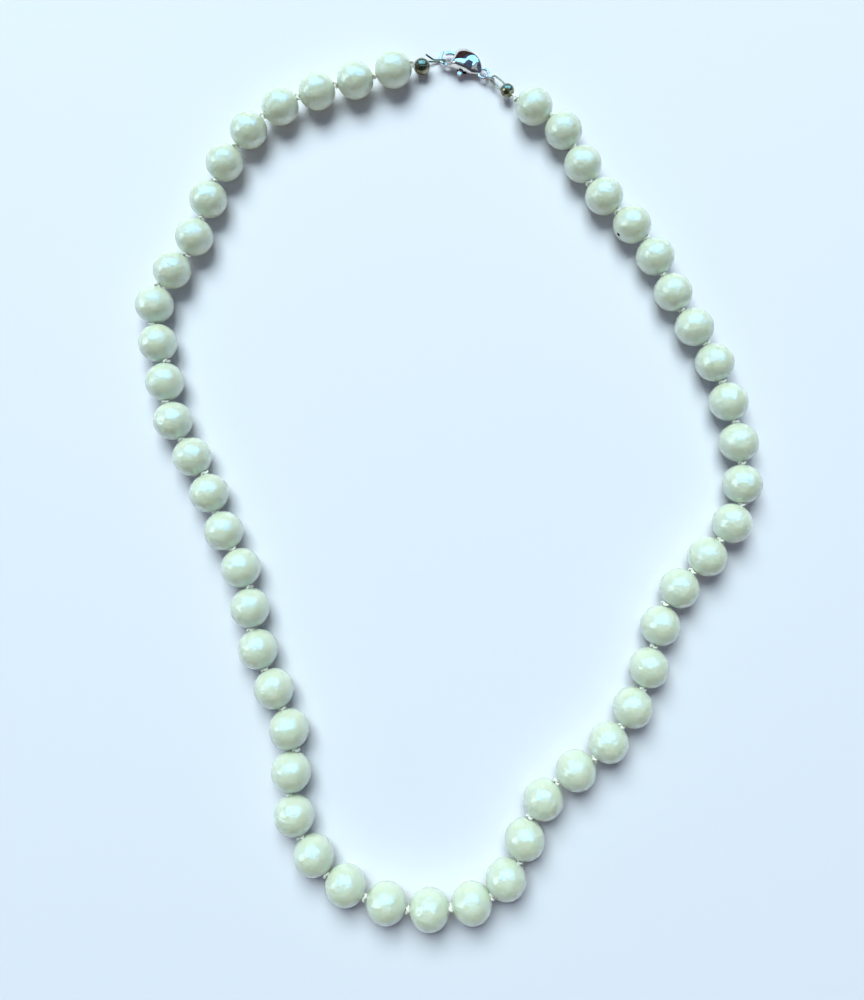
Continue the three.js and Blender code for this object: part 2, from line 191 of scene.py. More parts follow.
def through(rows, count, closed=False):
    """A smooth curve through rows of any width: a cubic between each two, its slope at a row half the step
    from the row before to the row after."""
    rows = np.asarray(rows, float)
    n = len(rows)
    t = np.linspace(0, n, count, endpoint=False) if closed else np.linspace(0, n - 1, count)
    i = np.minimum(t.astype(int), n - 1 if closed else n - 2)
    f = (t - i)[:, None]
    at = (lambda k: rows[k % n]) if closed else (lambda k: rows[np.clip(k, 0, n - 1)])
    a, b = at(i), at(i + 1)
    slope_a, slope_b = (at(i + 1) - at(i - 1)) / 2, (at(i + 2) - at(i)) / 2
    return ((2 * f**3 - 3 * f**2 + 1) * a + (f**3 - 2 * f**2 + f) * slope_a
            + (3 * f**2 - 2 * f**3) * b + (f**3 - f**2) * slope_b)


# ---- Surfaces ----


def grid_faces(rows, columns, closed_rows, closed_columns):
    """Four-sided faces of a grid of rows by columns, with its last row or column joined to its first."""
    i = np.arange(rows if closed_rows else rows - 1)[:, None]
    j = np.arange(columns if closed_columns else columns - 1)[None, :]
    i2, j2 = (i + 1) % rows, (j + 1) % columns
    corners = [i * columns + j, i * columns + j2, i2 * columns + j2, i2 * columns + j]
    return np.stack(corners, axis=-1).reshape(-1, 4).tolist()


def skin(points, closed_rows=False, ends=(None, None)):
    """Points in rows by columns, each row a ring. An end is the point that a fan closes it to."""
    rows, columns = points.shape[:2]
    faces = grid_faces(rows, columns, closed_rows, True)
    flat = list(points.reshape(-1, 3))
    ring = np.arange(columns)
    for row, end in zip((0, rows - 1), ends):
        if end is None:
            continue
        tip = np.full(columns, len(flat))
        flat.append(np.asarray(end, float))
        here, following = row * columns + ring, row * columns + (ring + 1) % columns
        order = (following, here, tip) if row == 0 else (here, following, tip)
        faces += np.stack(order, axis=-1).tolist()
    return np.array(flat), faces


def tube(path, radius, normal, sides=12, closed=False):
    """A round tube: each ring is the path's point plus radius times the cosine and sine of an angle along
    two directions across the path, the first of them square to normal. radius may change along the path
    and round the ring."""
    path = np.asarray(path, float)
    if closed:
        tangent = unit(np.roll(path, -1, axis=0) - np.roll(path, 1, axis=0))
    else:
        tangent = unit(np.gradient(path, axis=0))
    side = unit(np.cross(tangent, normal))
    over = np.cross(side, tangent)
    angle = np.arange(sides) * TURN / sides
    r = np.broadcast_to(np.asarray(radius, float), (len(path), sides))[..., None]
    ring = np.cos(angle)[None, :, None] * side[:, None] + np.sin(angle)[None, :, None] * over[:, None]
    points = path[:, None] + r * ring
    return skin(points, closed, (None, None) if closed else (path[0], path[-1]))


def plate(outline, thickness, edge, steps):
    """A flat plate with rounded edges: the outline, drawn in by edge times one minus the cosine, at heights
    that follow the sine, from the lower face's middle to the upper face's."""
    outline = through(outline, steps, closed=True)
    tangent = unit(np.roll(outline, -1, axis=0) - np.roll(outline, 1, axis=0))
    area = np.sum(outline[:, 0] * np.roll(outline[:, 1], -1) - np.roll(outline[:, 0], -1) * outline[:, 1])
    inwards = np.column_stack([-tangent[:, 1], tangent[:, 0]]) * np.sign(area)
    angle = np.linspace(-math.pi / 2, math.pi / 2, 9)
    half = thickness / 2 - edge
    heights = np.where(angle < 0, -half, half) + edge * np.sin(angle)
    drawn = edge * (1 - np.cos(angle))
    flat = outline[None] + drawn[:, None, None] * inwards[None]
    points = np.concatenate([flat, np.broadcast_to(heights[:, None, None], (*flat.shape[:2], 1))], axis=-1)
    return points


def piece(name, parts, material, body, node):
    """Puts one or more skins, in millimetres, into one mesh that rides on a body and stands for a node."""
    points, faces, start = [], [], 0
    for part_points, part_faces in parts:
        points.append(part_points)
        faces += [[start + k for k in face] for face in part_faces]
        start += len(part_points)
    mesh = bpy.data.meshes.new(name)
    mesh.from_pydata(np.concatenate(points) * MM, [], faces)
    mesh.materials.append(material)
    mesh.shade_smooth()
    made = bpy.data.objects.new(name, mesh)
    bpy.context.scene.collection.objects.link(made)
    if body:
        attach(made, body)
        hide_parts(node)
    return made


# ---- Materials ----


def linear(colour):
    """An sRGB hex colour as linear light: a straight part near black, and a 2.4 power above it."""
    parts = [int(colour[k:k + 2], 16) / 255 for k in (1, 3, 5)]
    return tuple(c / 12.92 if c <= 0.04045 else ((c + 0.055) / 1.055) ** 2.4 for c in parts) + (1.0,)


def add(tree, kind, settings=(), **inputs):
    """Adds a node with its settings. An input's underscores stand for spaces, and its value is a number, a
    colour, or the socket that feeds it."""
    made = tree.nodes.new(kind)
    for name, value in dict(settings).items():
        setattr(made, name, value)
    for name, value in inputs.items():
        key = int(name[1:]) if name[1:].isdigit() else name.replace("_", " ")
        if isinstance(value, bpy.types.NodeSocket):
            tree.links.new(value, made.inputs[key])
        else:
            made.inputs[key].default_value = value
    return made


def new_material(name):
    material = bpy.data.materials.new(name)
    material.use_nodes = True
    tree = material.node_tree
    tree.nodes.clear()
    return material, tree


def pearl_lacquer():
    """Acrylic beads dipped in pearl-essence lacquer. The eye sees a cream-green body that light soaks into
    a little way, a bluish silky sheen from the flakes, and a clear hard coat whose slight orange peel
    breaks up what it mirrors. Faint cloudy patches keep the beads from being all alike. Where the lacquer
    is chipped its dark core shows, with neither sheen nor coat."""
    material, tree = new_material("pearl_lacquer")
    place = add(tree, "ShaderNodeTexCoord").outputs["Object"]
    # About 20 mm, so that the tone drifts from bead to bead.
    strand = add(tree, "ShaderNodeTexNoise", Vector=place, Scale=45.0, Detail=1.0)
    # Patches of 2.4 mm.
    cloud = add(tree, "ShaderNodeTexNoise", Vector=place, Scale=420.0, Detail=3.0, Roughness=0.5)
    tone = add(tree, "ShaderNodeMix", {"data_type": "RGBA"}, Factor=strand.outputs[0],
               _6=linear("#e6e0ba"), _7=linear("#ebe6c8"))
    body = add(tree, "ShaderNodeMix", {"data_type": "RGBA"}, Factor=cloud.outputs[0],
               _6=tone.outputs[2], _7=linear("#dce4c8"))
    edge = add(tree, "ShaderNodeTexNoise", Vector=place, Scale=3000.0)  # 0.3 mm
    near, far = (
        add(tree, "ShaderNodeVectorMath", {"operation": "DISTANCE"}, _0=place,
            _1=tuple((CHIP + side * CHIP_FOCUS * CHIP_LONG) * MM))
        for side in (-1, 1)
    )
    away = add(tree, "ShaderNodeMath", _0=near.outputs["Value"], _1=far.outputs["Value"])
    ragged = add(tree, "ShaderNodeMath", {"operation": "MULTIPLY_ADD"}, _0=edge.outputs[0],
                 _1=CHIP_RAGGED * MM, _2=away.outputs[0])
    bare = add(tree, "ShaderNodeMapRange", Value=ragged.outputs[0], To_Min=1.0, To_Max=0.0,
               From_Min=(2 * CHIP_RADIUS + CHIP_MARGINS[0]) * MM,
               From_Max=(2 * CHIP_RADIUS + CHIP_MARGINS[1]) * MM)
    chipped = add(tree, "ShaderNodeMix", {"data_type": "RGBA"}, Factor=bare.outputs[0],
                  _6=body.outputs[2], _7=linear("#2e2a22"))
    coated = add(tree, "ShaderNodeMath", {"operation": "SUBTRACT"}, _0=1.0, _1=bare.outputs[0])
    gloss = add(tree, "ShaderNodeMath", {"operation": "MULTIPLY"}, _0=coated.outputs[0], _1=0.5)
    # Ripples of 1.5 mm. Real orange peel is finer, and would not show.
    peel = add(tree, "ShaderNodeTexNoise", Vector=place, Scale=650.0, Detail=3.0, Roughness=0.55)
    bump = add(tree, "ShaderNodeBump", Height=peel.outputs[0], Strength=1.0, Distance=0.00032)
    # The flakes' IOR is about 2, and the tint is the blue that they send back. The depth is in metres.
    shader = add(
        tree, "ShaderNodeBsdfPrincipled", Base_Color=chipped.outputs[2], Roughness=0.34,
        Subsurface_Weight=0.85, Subsurface_Radius=(1.0, 0.95, 0.75), Subsurface_Scale=0.0016,
        IOR=2.0, Specular_IOR_Level=gloss.outputs[0], Specular_Tint=linear("#90cbf9"),
        Coat_Weight=coated.outputs[0], Coat_Roughness=0.16, Coat_IOR=1.8,
        Normal=bump.outputs[0], Coat_Normal=bump.outputs[0],
    )
    add(tree, "ShaderNodeOutputMaterial", Surface=shader.outputs[0])
    return material


def silk_thread():
    """Twisted silk beading thread, cream: matt, with a fine fibre that catches light along its edges."""
    material, tree = new_material("silk_thread")
    place = add(tree, "ShaderNodeTexCoord").outputs["Object"]
    fibre = add(tree, "ShaderNodeTexNoise", Vector=place, Scale=9000.0, Detail=3.0)  # 0.1 mm fibres
    tone = add(tree, "ShaderNodeMix", {"data_type": "RGBA"}, Factor=fibre.outputs[0],
               _6=linear("#efe8d2"), _7=linear("#fdf8ec"))
    bump = add(tree, "ShaderNodeBump", Height=fibre.outputs[0], Strength=0.5, Distance=0.00005)
    shader = add(
        tree, "ShaderNodeBsdfPrincipled", Base_Color=tone.outputs[2], Roughness=0.75, IOR=1.5,
        Sheen_Weight=0.3, Sheen_Roughness=0.4, Normal=bump.outputs[0],
    )
    add(tree, "ShaderNodeOutputMaterial", Surface=shader.outputs[0])
    return material


def plated_metal(name, bright, tarnish, roughness):
    """Bright plating over cast or drawn brass: mirror-like, with a thin warm tarnish in soft patches and
    fine handling scratches that widen its reflections a little."""
    material, tree = new_material(name)
    place = add(tree, "ShaderNodeTexCoord").outputs["Object"]
    patches = add(tree, "ShaderNodeTexNoise", Vector=place, Scale=550.0, Detail=4.0, Roughness=0.6)  # 1.8 mm
    where = add(tree, "ShaderNodeMapRange", Value=patches.outputs[0], From_Min=0.48, From_Max=0.72)
    tone = add(tree, "ShaderNodeMix", {"data_type": "RGBA"}, Factor=where.outputs[0],
               _6=linear(bright), _7=linear(tarnish))
    fine = add(tree, "ShaderNodeTexNoise", Vector=place, Scale=6000.0, Detail=3.0)  # 0.17 mm
    rough = add(
        tree, "ShaderNodeMapRange", Value=fine.outputs[0], To_Min=roughness * 0.7, To_Max=roughness * 1.4,
    )
    bump = add(tree, "ShaderNodeBump", Height=fine.outputs[0], Strength=0.04, Distance=0.00003)
    shader = add(
        tree, "ShaderNodeBsdfPrincipled", Base_Color=tone.outputs[2], Metallic=1.0,
        Roughness=rough.outputs[0], Normal=bump.outputs[0],
    )
    add(tree, "ShaderNodeOutputMaterial", Surface=shader.outputs[0])
    return material


# ---- Where the beads and the knots are ----


def corners_of(node):
    mesh = frame["nodes"][node].data
    found = np.empty(3 * len(mesh.vertices), np.float32)
    mesh.vertices.foreach_get("co", found)
    return found.reshape(-1, 3).astype(float) / MM


def beads_in_run(node, numbers):
    """Each bead of a joined run ends in a small square flat on top, so the corners at the greatest height
    gather four by four. They are taken in order along the run."""
    corners = corners_of(node)
    top = np.unique(np.round(corners[corners[:, 2] > corners[:, 2].max() - 0.01, :2], 2), axis=0)
    near = np.linalg.norm(top[:, None] - top[None], axis=2) < BEAD_RADIUS
    centres = np.unique(np.round(near @ top / near.sum(axis=1, keepdims=True), 2), axis=0)
    assert len(centres) == len(numbers), (node, len(centres))
    return centres


def bead_centres():
    """The middles of the separate beads' boxes, and of the beads in the two runs, sorted by how far they
    lie from the bead that they follow."""
    centres = {}
    for n in range(RUNS["bead_run_left"].stop, RUNS["bead_run_right"].start):
        low, high = (np.array(c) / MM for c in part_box(f"bead_{n:02d}"))
        centres[n] = ((low + high) / 2)[:2]
    for node, numbers in RUNS.items():
        left = list(beads_in_run(node, numbers))
        inwards = reversed(numbers) if node == "bead_run_left" else numbers
        step = 1 if node == "bead_run_left" else -1
        for n in inwards:
            away = [np.linalg.norm(c - centres[n + step]) for c in left]
            centres[n] = left.pop(int(np.argmin(away)))
    return np.array([centres[n] for n in range(FIRST_BEAD, LAST_BEAD + 1)])


def bore_direction(n):
    """The corners round a bore's mouths are the nearest ones to the bead's centre, so the longest spread of
    them is along the bore."""
    corners = corners_of(f"bead_{n:02d}")
    away = corners - (corners.max(axis=0) + corners.min(axis=0)) / 2
    distance = np.linalg.norm(away, axis=1)
    mouths = away[distance < distance.min() + 0.02]
    return np.linalg.svd(mouths, full_matrices=False)[2][0][:2]


def knot_places(centres):
    """Each bead is halfway between two knots, and its bore lies on the line between them. Both are linear
    in the knots' places, so least squares gives them."""
    count = len(centres) + 1
    rows, values = [], []
    for k, centre in enumerate(centres):
        for axis in (0, 1):
            row = np.zeros(2 * count)
            row[[2 * k + axis, 2 * k + 2 + axis]] = 0.5
            rows.append(row)
            values.append(centre[axis])
    for n in range(RUNS["bead_run_left"].stop, RUNS["bead_run_right"].start):
        x, y = bore_direction(n)
        row = np.zeros(2 * count)
        row[2 * n - 2:2 * n + 2] = (y, -x, -y, x)
        rows.append(row)
        values.append(0.0)
    found = np.linalg.lstsq(np.array(rows), np.array(values), rcond=None)[0].reshape(-1, 2)
    return np.column_stack([found, np.full(count, BEAD_RADIUS)])


CENTRES = np.column_stack([bead_centres(), np.full(LAST_BEAD, BEAD_RADIUS)])
KNOTS = knot_places(CENTRES[:, :2])
CHIP = CENTRES[CHIPPED_BEAD - FIRST_BEAD] + BEAD_RADIUS * CHIP_DIRECTION

PEARL = pearl_lacquer()
SILK = silk_thread()
PLATE = plated_metal("bright_silver_plate", "#f2e8e2", "#b8a898", 0.08)
LEVER_METAL = plated_metal("lever_silver_plate", "#e6e0da", "#a0968a", 0.14)
# The bead tips' plate is much darker and yellower than the clasp's. This is partly a brass tone and partly
# painted shade, which stands in for the dark room that their mirror surface reflects.
BRASS_TONE_AND_PAINTED_SHADE = plated_metal("brass_tone_and_painted_shade_plate", "#a39c80", "#564c34", 0.24)

# ---- Beads ----

random = np.random.default_rng(SEED)


def pearl_section(steps):
    """Along and out from the bead's middle: an arc of the ball from one mouth to the other, a small round
    lip, and the bore back through it. The list closes on itself."""
    lip_centre_out = HOLE_RADIUS + HOLE_LIP
    lip_centre_along = math.sqrt((BEAD_RADIUS - HOLE_LIP) ** 2 - lip_centre_out**2)
    meets = math.atan2(lip_centre_out, lip_centre_along)
    arc = np.linspace(meets, math.pi - meets, steps)
    ball = BEAD_RADIUS * np.column_stack([np.cos(arc), np.sin(arc)])
    bend = np.linspace(meets, -math.pi, 5)[1:]
    lip = np.column_stack([
        lip_centre_along + HOLE_LIP * np.cos(bend), lip_centre_out + HOLE_LIP * np.sin(bend),
    ])
    lip = lip[lip[:, 1] >= HOLE_RADIUS - 1e-9]
    far_lip = lip * (-1, 1)
    return np.concatenate([ball, far_lip, lip[::-1]])


def pearl(n):
    """A ball turned round its bore: the section's distance out, times the cosine and sine of an angle. Its
    radius falls short by up to a few hundredths of a millimetre, in two slow waves round and one along. The
    chipped bead has a finer grid and a shallow dish, as deep as a cosine bell of the distance from it."""
    chipped = n == CHIPPED_BEAD
    section = pearl_section(141 if chipped else 43)
    sides = 240 if chipped else 72
    along = unit(KNOTS[n] - KNOTS[n - 1])
    side = np.cross(along, UP)
    angle = np.arange(sides) * TURN / sides
    phases = random.uniform(0, TURN, 3)
    wave = WAVE_ROUND * (np.cos(2 * angle[None] + phases[0]) + np.cos(3 * angle[None] + phases[1]) - 2)
    a, out = section[:, :1], section[:, 1:]
    on_ball = np.clip(out / BEAD_RADIUS, 0, 1) ** 2
    dip = wave + WAVE_ALONG * (np.sin(a / BEAD_RADIUS * 3 + phases[2]) - 1)
    out = out * (1 + on_ball * dip / BEAD_RADIUS)
    ring = np.cos(angle)[None, :, None] * side + np.sin(angle)[None, :, None] * UP
    points = CENTRES[n - 1] + a[..., None] * along + out[..., None] * ring
    if chipped:
        away = points - CHIP
        drawn_in = CHIP_LONG * (away @ CHIP_LONG)[..., None] * CHIP_STRETCH
        stretched = np.linalg.norm(away - drawn_in, axis=-1)
        dish = 0.5 + 0.5 * np.cos(np.pi * np.clip(stretched / CHIP_RADIUS, 0, 1))
        points = points - CHIP_DEPTH * dish[..., None] * CHIP_DIRECTION
    return skin(points, closed_rows=True)


def node_of(n):
    for node, numbers in RUNS.items():
        if n in numbers:
            return node
    return f"bead_{n:02d}"


for number in range(FIRST_BEAD, LAST_BEAD + 1):
    piece(f"pearl_{number:02d}", [pearl(number)], PEARL, "strand", node_of(number))

# ---- The clasp's frame ----

pin_place = np.array(frame["joints"][0]["pos_m"]) / MM
CLASP_TURN = np.array([
    [math.cos(CLASP_HEADING), -math.sin(CLASP_HEADING), 0],
    [math.sin(CLASP_HEADING), math.cos(CLASP_HEADING), 0],
    [0, 0, 1],
])
CLASP_ORIGIN = pin_place - CLASP_TURN @ PIN


def on_clasp(part):
    points, faces = part
    return points @ CLASP_TURN.T + CLASP_ORIGIN, faces


def tip_frame(tip, normal):
    """The ball's centre, and columns along the tip's axis and across its loop, in the clasp's frame."""
    centre = np.array(tip["centre"])
    return centre, basis(np.array(tip["to"]) - centre, normal)


LEFT_AXIS = unit(np.array(LEFT_TIP["to"]) - LEFT_TIP["centre"])
LEFT_NORMAL = np.cross(LEFT_AXIS, turned_about(UP, LEFT_AXIS, math.radians(LEFT_TIP["lean"])))
RING_ALONG = unit(RING["along"])
RING_RISE = turned_about(UP, RING_ALONG, math.radians(RING["lean"]))
TIPS = {
    "bead_tip_left": (LEFT_TIP, *tip_frame(LEFT_TIP, LEFT_NORMAL)),
    "bead_tip_right": (RIGHT_TIP, *tip_frame(RIGHT_TIP, RING_RISE)),
}

# ---- Thread and knots ----


def thread_path(first, last, lead=None, tail=None):
    """The thread's line from knot to knot. It is straight in each bore, and each knot has a stop on either
    side of it. lead and tail are further stops beyond its two ends."""
    stops = [] if lead is None else list(lead)
    for k in range(first, last + 1):
        for other in (k - 1, k, k + 1):
            if other == k:
                stops.append(KNOTS[k])
            elif first <= other <= last:
                step = unit(KNOTS[other] - KNOTS[k]) * KNOT_STOP
                stops.append(KNOTS[k] + step)
    return np.array(stops + ([] if tail is None else list(tail)))


def knot(place, along):
    """A tight overhand knot, drawn as a trefoil. Along the thread it is -0.75 sin 3t, and across it
    sin t + 2 sin 2t and cos t - 2 cos 2t, scaled to the gap between two beads and turned at random about
    the thread. The strand that it is tied in has three low lobes, 1 + 0.12 cos(3 angle + 14 t), that wind
    along it as twisted plies do."""
    t = np.arange(72) * TURN / 72
    loop = np.column_stack([
        -np.sin(3 * t) * 0.75, np.sin(t) + 2 * np.sin(2 * t), np.cos(t) - 2 * np.cos(2 * t),
    ])
    side = unit(np.cross(along, UP))
    frame_of_knot = np.column_stack([along, side, np.cross(along, side)])
    spin = random.uniform(0, TURN)
    c, s = math.cos(spin), math.sin(spin)
    turn = np.array([[1, 0, 0], [0, c, -s], [0, s, c]])
    size = random.uniform(0.2, 0.25)
    outwards = -side * random.uniform(-0.1, 0.4) + UP * random.uniform(0.1, 0.35)
    path = place + outwards + size * loop @ turn.T @ frame_of_knot.T
    ply = KNOT_RADIUS * (1 + 0.12 * np.cos(3 * np.arange(9) * TURN / 9 + 14 * t[:, None]))
    return tube(path, ply, along, 9, closed=True)


def knotted_thread(first, last, knots, lead=None, tail=None):
    """A plain round tube along the thread's line, and a knot in each gap. Only the knots show a ply."""
    path = thread_path(first, last, lead, tail)
    path = path[np.concatenate([[True], np.linalg.norm(np.diff(path, axis=0), axis=1) > 1e-6])]
    parts = [tube(path, THREAD_RADIUS, UP, 12)]
    for k in knots:
        before, after = KNOTS[max(k - 1, 0)], KNOTS[min(k + 1, LAST_BEAD)]
        parts.append(knot(KNOTS[k], unit(after - before)))
    return parts


def into_tip(name):
    """Stops from the outermost knot to the end knot inside the clamshell, in world millimetres."""
    tip, centre, turn = TIPS[name]
    axis = turn[:, 0]
    stops = np.array([centre - axis * (tip["radius"] + 0.25), centre - axis * tip["radius"] * 0.5, centre])
    return stops @ CLASP_TURN.T + CLASP_ORIGIN


def end_knot(name):
    """The end knot in a clamshell: a ball with three soft ridges."""
    tip, centre, turn = TIPS[name]
    polar = np.linspace(0.2, math.pi - 0.2, 16)[:, None]
    angle = np.arange(24)[None] * TURN / 24
    r = END_KNOT_RADIUS * (1 + 0.08 * np.cos(3 * angle + 4 * polar))
    local = np.stack([r * np.cos(polar) + 0 * angle, r * np.sin(polar) * np.cos(angle),
                      r * np.sin(polar) * np.sin(angle)], axis=-1)
    points = centre + local @ turn.T
    return on_clasp(skin(points[::-1], ends=(points[-1].mean(axis=0), points[0].mean(axis=0))))


LEFT_RUN_LAST = RUNS["bead_run_left"].stop - 1
RIGHT_RUN_FIRST = RUNS["bead_run_right"].start
LEFT_MIDDLE, RIGHT_MIDDLE = CENTRES[LEFT_RUN_LAST - 1], CENTRES[RIGHT_RUN_FIRST - 1]
left_lead = into_tip("bead_tip_left")[::-1]
right_lead = into_tip("bead_tip_right")

piece("thread_left", knotted_thread(0, LEFT_RUN_LAST - 1, range(0, LEFT_RUN_LAST), lead=left_lead,
                                    tail=[LEFT_MIDDLE]) + [end_knot("bead_tip_left")],
      SILK, "strand", "bead_run_left")
piece("thread_middle", knotted_thread(LEFT_RUN_LAST, RIGHT_RUN_FIRST - 1,
                                      range(LEFT_RUN_LAST, RIGHT_RUN_FIRST)),
      SILK, "strand", "thread")
piece("thread_right", knotted_thread(RIGHT_RUN_FIRST, LAST_BEAD, range(RIGHT_RUN_FIRST, LAST_BEAD + 1),
                                     lead=[RIGHT_MIDDLE], tail=right_lead) + [end_knot("bead_tip_right")],
      SILK, "strand", "bead_run_right")

# ---- Bead tips ----


def cup(radius, upper):
    """Half of a clamshell: a bowl turned about z, from its crown down the outside, round its lip and back up
    the inside. The lip is notched at -X for the thread."""
    angle = np.arange(64) * TURN / 64
    from_hole = np.abs(angle - math.pi)
    notch = NOTCH_DEPTH * np.sqrt(np.clip(1 - (from_hole * radius / NOTCH_HALF_WIDTH) ** 2, 0, 1))
    lip_angle = math.pi / 2 - (SHELL_GAP + notch) / radius
    share = np.linspace(0.06, 1, 22)[:, None]
    outer = share * lip_angle[None]
    inner = share[::-1] * lip_angle[None]
    bend = np.linspace(0, math.pi, 5)[1:-1]
    middle, wall = radius - SHELL_WALL / 2, SHELL_WALL / 2
    lip = np.repeat(lip_angle[None], 3, axis=0) + (np.sin(bend) * SHELL_LIP)[:, None]
    polar = np.concatenate([outer, lip, inner])
    r = np.concatenate([np.full(22, middle + wall), middle + wall * np.cos(bend), np.full(22, middle - wall)])
    r = r[:, None]
    points = np.stack([r * np.sin(polar) * np.cos(angle), r * np.sin(polar) * np.sin(angle),
                       r * np.cos(polar)], axis=-1)
    if not upper:
        points = points[::-1] * (1, 1, -1)
        ends = ((0, 0, -radius + SHELL_WALL), (0, 0, -radius))
    else:
        ends = ((0, 0, radius), (0, 0, radius - SHELL_WALL))
    return skin(points, ends=ends)


def tip_loop(tip):
    """The wire of a bead tip's loop: from the ball, out along one side, round, and back to its tail."""
    radius, aside, half, reach = tip["radius"], tip["aside"], tip["half"], tip["reach"]
    root = math.sqrt((radius - 0.175) ** 2 - aside**2)
    route = [
        (root * 0.7, -half * 0.5, aside), (root + 0.5, -half * 0.95, aside),
        (reach - half * 0.9, -half, aside), (reach - half * 0.2, -half * 0.66, aside), (reach, 0, aside),
        (reach - half * 0.2, half * 0.66, aside), (reach - half * 0.9, half, aside), *tip["end"],
    ]
    return tube(through(route, 120), TIP_WIRE, UP, 16)


# The bead tips take the darker plate, which is part brass tone and part painted shade.
for name, (tip, centre, turn) in TIPS.items():
    parts = [cup(tip["radius"], True), cup(tip["radius"], False), tip_loop(tip)]
    placed = [on_clasp((centre + points @ turn.T, faces)) for points, faces in parts]
    piece(name + "_shell", placed, BRASS_TONE_AND_PAINTED_SHADE, "strand", name)

# ---- Jump ring ----


def jump_ring():
    """A wire ring with its ends butted: a circle short of a whole turn by the width of a saw cut."""
    normal = np.cross(RING_ALONG, RING_RISE)
    turn = basis(RING_ALONG, normal)
    angle = np.linspace(RING_CUT, TURN - RING_CUT, 96) - 1.1
    path = np.column_stack([np.cos(angle), np.sin(angle), 0 * angle]) * RING["radius"]
    points, faces = tube(path, RING["wire"], UP, 20)
    return on_clasp((np.array(RING["centre"]) + points @ turn.T, faces))


piece("jump_ring_wire", [jump_ring()], PLATE, "strand", "jump_ring")

# ---- Lobster clasp ----


def clasp_shell():
    """The body, drawn between two edge lines. A section's points are its middle, plus half its width times
    the cosine and half its thickness times the sine, each raised to 2 / fullness. The upper face is crowned
    by a share that grows with the row's crest, and leans by the crest times the same cosine."""
    rows = through([(*row["spine"], *row["gate"], row["half"], row.get("crest", 0.0)) for row in BODY_ROWS],
                   BODY_STEPS)
    middle = (rows[:, 0:2] + rows[:, 2:4]) / 2
    across = (rows[:, 0:2] - rows[:, 2:4]) / 2
    angle = np.arange(BODY_SIDES) * TURN / BODY_SIDES
    power = 2 / BODY_FULLNESS
    wide = np.sign(np.cos(angle)) * np.abs(np.cos(angle)) ** power
    high = np.sign(np.sin(angle)) * np.abs(np.sin(angle)) ** power
    flat = middle[:, None] + wide[None, :, None] * across[:, None]
    lean = 1 + np.abs(rows[:, 5:6]) / MOST_CREST * BODY_CROWN + rows[:, 5:6] * wide[None]
    z = (high[None] * rows[:, 4:5] * np.where(high[None] > 0, lean, 1))[..., None]
    points = np.concatenate([flat, z], axis=-1)
    ends = (np.append(middle[0], 0) - (0.06, 0, 0), np.append(middle[-1], 0) - (0.02, 0.06, 0))
    return skin(points[:, ::-1], ends=ends)


def eye():
    """The tail's wire eye: a round tube along a circle."""
    angle = np.arange(72) * TURN / 72
    path = np.column_stack([np.cos(angle), np.sin(angle), 0 * angle]) * EYE["radius"] + EYE["centre"]
    return tube(path, EYE["wire"], UP, 20, closed=True)


def prism(outline, thickness):
    """A straight-sided plate of an outline, closed by its own flat faces."""
    outline = np.asarray(outline, float)
    n = len(outline)
    area = np.sum(outline[:, 0] * np.roll(outline[:, 1], -1) - np.roll(outline[:, 0], -1) * outline[:, 1])
    if area < 0:
        outline = outline[::-1]
    faces_at = (-thickness / 2, thickness / 2)
    points = np.concatenate([np.column_stack([outline, np.full(n, z)]) for z in faces_at])
    ring = np.arange(n)
    walls = np.column_stack([ring, (ring + 1) % n, (ring + 1) % n + n, ring + n]).tolist()
    return points, walls + [ring[::-1].tolist(), (ring + n).tolist()]


def boolean(target, tool, operation):
    """Joins or cuts with a closed solid, and keeps the result as the target's own mesh."""
    modifier = target.modifiers.new(operation, "BOOLEAN")
    modifier.operation = operation
    modifier.object = tool
    modifier.solver = "EXACT"
    depsgraph = bpy.context.evaluated_depsgraph_get()
    result = bpy.data.meshes.new_from_object(target.evaluated_get(depsgraph))
    target.modifiers.clear()
    target.data = result
    bpy.data.objects.remove(tool)


def tool(part):
    """A closed solid that only joins or cuts another."""
    return piece("tool", [on_clasp(part)], PLATE, None, None)


def round_bar(radius, length):
    """A straight bar on the lever's hinge line."""
    angle = np.arange(32) * TURN / 32
    return prism(PIN[:2] + radius * np.column_stack([np.cos(angle), np.sin(angle)]), length)


body = piece("clasp_body_cast", [on_clasp(clasp_shell())], PLATE, "strand", "clasp_body")
boolean(body, tool(eye()), "UNION")
boolean(body, tool(prism(SLOT_OUTLINE, SLOT_WIDTH)), "DIFFERENCE")
boolean(body, tool(round_bar(PIN_RADIUS, SLOT_WIDTH + PIN_SEAT)), "UNION")
body.data.shade_smooth()
body.data.set_sharp_from_angle(angle=SHARP)

lever_rings = plate(LEVER_OUTLINE, LEVER_THICKNESS, LEVER_EDGE, 160)


def lever():
    """The lever's plate, closed over its two flat faces by their own outline."""
    points, faces = skin(lever_rings)
    count = lever_rings.shape[1]
    top = (len(lever_rings) - 1) * count + np.arange(count)
    return points, faces + [np.arange(count)[::-1].tolist(), top.tolist()]


gate = piece("clasp_lever_plate", [on_clasp(lever())], LEVER_METAL, "lever", "clasp_lever")
boolean(gate, tool(round_bar(PIN_RADIUS + PIN_PLAY, LEVER_THICKNESS + 0.4)), "DIFFERENCE")
gate.data.shade_smooth()
gate.data.set_sharp_from_angle(angle=SHARP)

# ---- Floor, light and camera ----


def floor():
    """A smooth matt sheet, nearly white: the light makes it look pale blue."""
    material, tree = new_material("pale_sheet")
    shader = add(tree, "ShaderNodeBsdfPrincipled", Base_Color=linear("#ebe6e8"), Roughness=1.0,
                 Specular_IOR_Level=0.0)
    add(tree, "ShaderNodeOutputMaterial", Surface=shader.outputs[0])
    mesh = bpy.data.meshes.new("floor")
    h = FLOOR_HALF
    mesh.from_pydata([(-h, -h, 0), (h, -h, 0), (h, h, 0), (-h, h, 0)], [], [(0, 1, 2, 3)])
    mesh.materials.append(material)
    made = bpy.data.objects.new("floor", mesh)
    bpy.context.scene.collection.objects.link(made)


